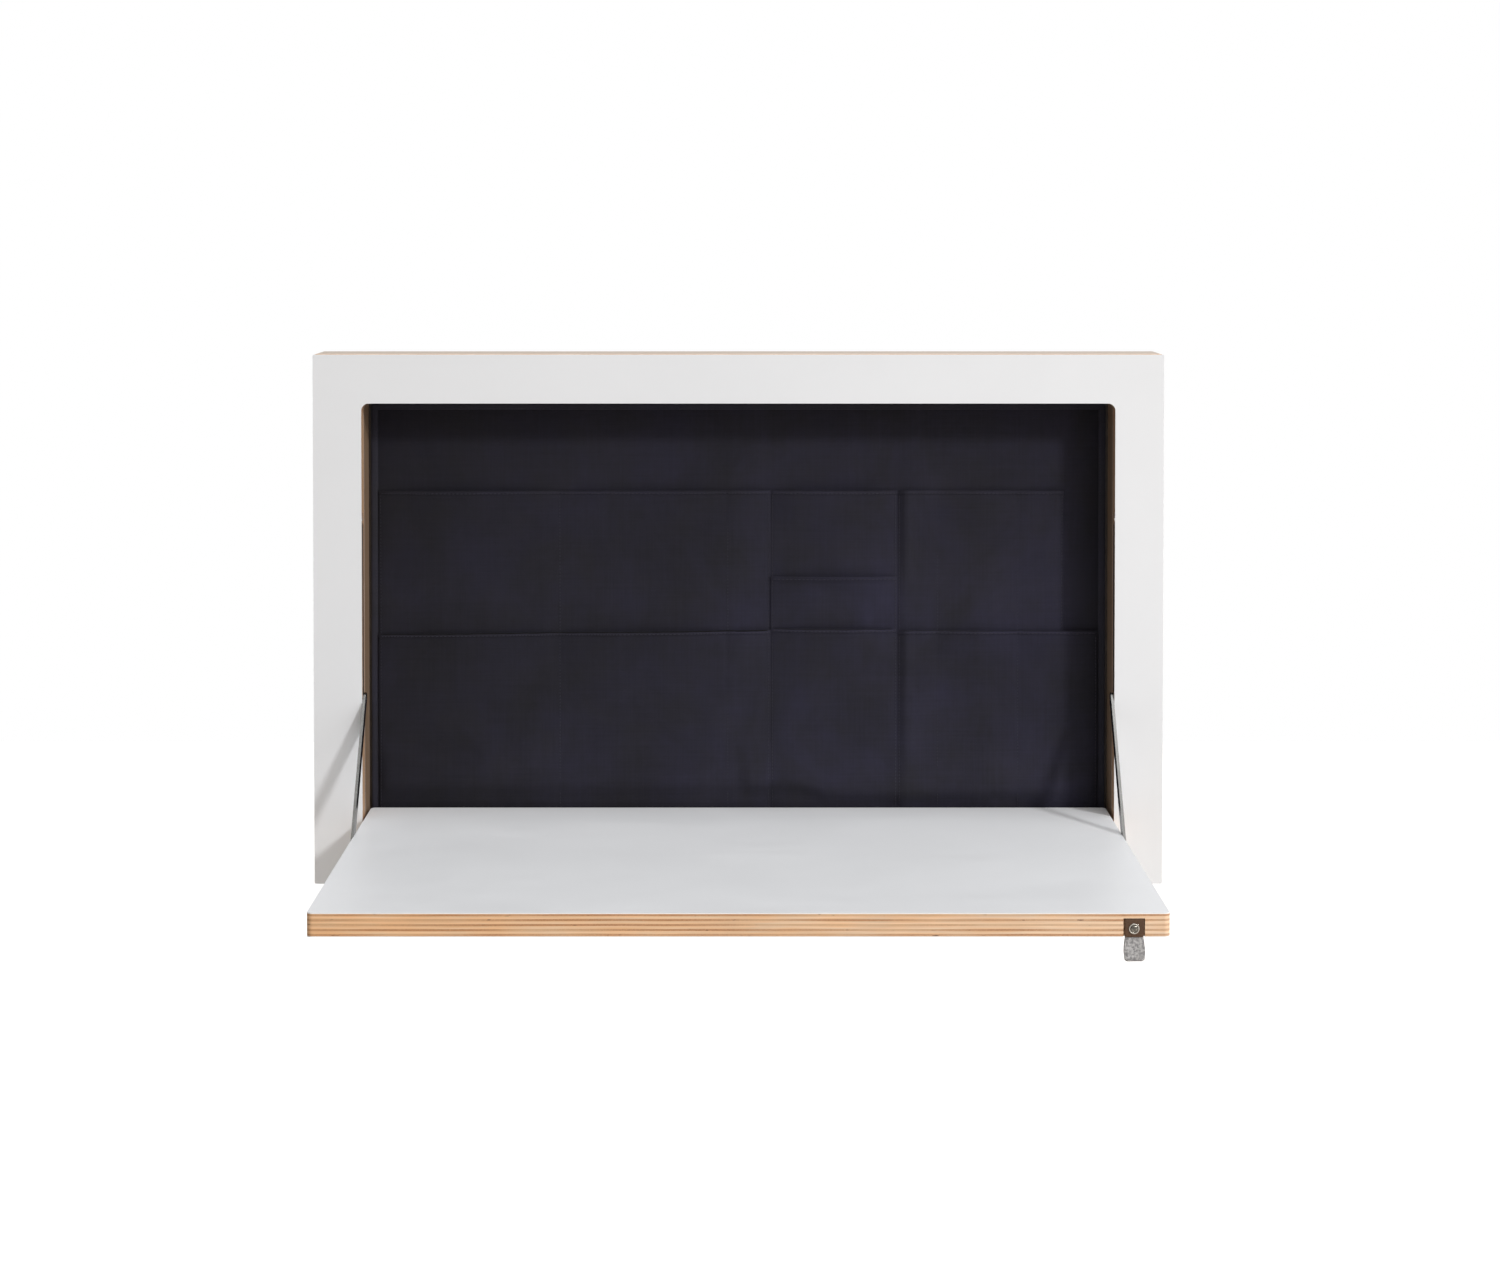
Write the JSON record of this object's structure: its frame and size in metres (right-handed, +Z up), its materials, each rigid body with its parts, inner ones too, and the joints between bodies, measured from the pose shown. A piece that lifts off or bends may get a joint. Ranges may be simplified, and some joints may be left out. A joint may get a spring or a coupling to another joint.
{
  "type": "fold down wall desk",
  "caption": "Shallow plywood wall case with a fold-down writing leaf on sliding steel stays and a canvas pocket organiser behind it.",
  "frame": {"origin": "middle of the back face, at the centre of the four wall screw holes", "axes": "+X to the right as the user faces the desk, -Y out of the wall towards the user, +Z up"},
  "size_m": [0.8, 0.4574, 0.5],
  "materials": {
    "birch_plywood": "clear sealed, plies showing on the edges",
    "birch_face_veneer": "sanded face veneer",
    "beech_dowel": "fluted dowel, unfinished",
    "white_laminate": "satin high pressure laminate",
    "zinc_steel": "bright zinc plated",
    "greyboard": "stiff pressed board",
    "navy_canvas": "plain woven canvas, dark navy",
    "navy_binding": "folded twill tape",
    "hook_and_loop": "black nylon fastening tape",
    "acetal": "black acetal, satin",
    "nickel": "bright nickel",
    "pin_steel": "ground steel",
    "brushed_steel_bar": "brushed along its length",
    "grey_felt": "mottled wool felt",
    "dark_leather": "dark brown, fine grain"
  },
  "bodies": {
    "frame": {"front_frame": "birch_plywood", "front_laminate": "white_laminate", "rear_laminate": "white_laminate", "top_rail": "birch_plywood", "bottom_rail": "birch_plywood", "left_stile": "birch_plywood", "right_stile": "birch_plywood", "corner_dowels": "beech_dowel", "back_panel": "birch_face_veneer", "organiser_board": "greyboard", "organiser_cloth": "navy_canvas", "organiser_binding": "navy_binding", "loop_tapes": "hook_and_loop", "hook_tapes": "hook_and_loop", "upper_pocket_left": "navy_canvas", "upper_pocket_middle": "navy_canvas", "upper_pocket_right": "navy_canvas", "lower_pocket_left": "navy_canvas", "lower_pocket_middle": "navy_canvas", "lower_pocket_right": "navy_canvas", "small_pocket": "navy_canvas", "pivot_blocks": "acetal", "slide_tracks": "acetal", "magnets": "nickel"},
    "leaf": {"leaf_core": "birch_plywood", "leaf_top_laminate": "white_laminate", "leaf_under_laminate": "white_laminate", "pivot_pins": "pin_steel", "strike_discs": "nickel", "foot_screws": "zinc_steel", "tab_felt": "grey_felt", "tab_patch": "dark_leather", "tab_washer": "zinc_steel", "tab_screw": "zinc_steel"},
    "stay_left_arm": {"stay_left": "brushed_steel_bar", "stay_rivet_left": "zinc_steel"},
    "shoe_left": {"slide_shoe_left": "acetal"},
    "stay_right_arm": {"stay_right": "brushed_steel_bar", "stay_rivet_right": "zinc_steel"},
    "shoe_right": {"slide_shoe_right": "acetal"}
  },
  "joints": [
    {"name": "leaf_fold", "type": "hinge", "parent": "frame", "child": "leaf", "pos_m": [0, -0.059, -0.1955], "axis": [-1, 0, 0], "range_deg": [0, 90]},
    {"name": "stay_left_turn", "type": "hinge", "parent": "leaf", "child": "stay_left_arm", "pos_m": [-0.353, -0.156, -0.1965], "axis": [1, 0, 0], "range_deg": [0, 128.63]},
    {"name": "shoe_left_slide", "type": "slide", "parent": "frame", "child": "shoe_left", "axis": [0, 0, 1], "range_m": [0, 0.13095]},
    {"name": "stay_right_turn", "type": "hinge", "parent": "leaf", "child": "stay_right_arm", "pos_m": [0.353, -0.156, -0.1965], "axis": [1, 0, 0], "range_deg": [0, 128.63]},
    {"name": "shoe_right_slide", "type": "slide", "parent": "frame", "child": "shoe_right", "axis": [0, 0, 1], "range_m": [0, 0.13095]}
  ],
  "couplings": [
    {"joint": "stay_left_turn", "follows": "leaf_fold", "ratio": 1.4292},
    {"joint": "shoe_left_slide", "follows": "leaf_fold", "m_per_rad": 0.08336},
    {"joint": "stay_right_turn", "follows": "leaf_fold", "ratio": 1.4292},
    {"joint": "shoe_right_slide", "follows": "leaf_fold", "m_per_rad": 0.08336}
  ]
}
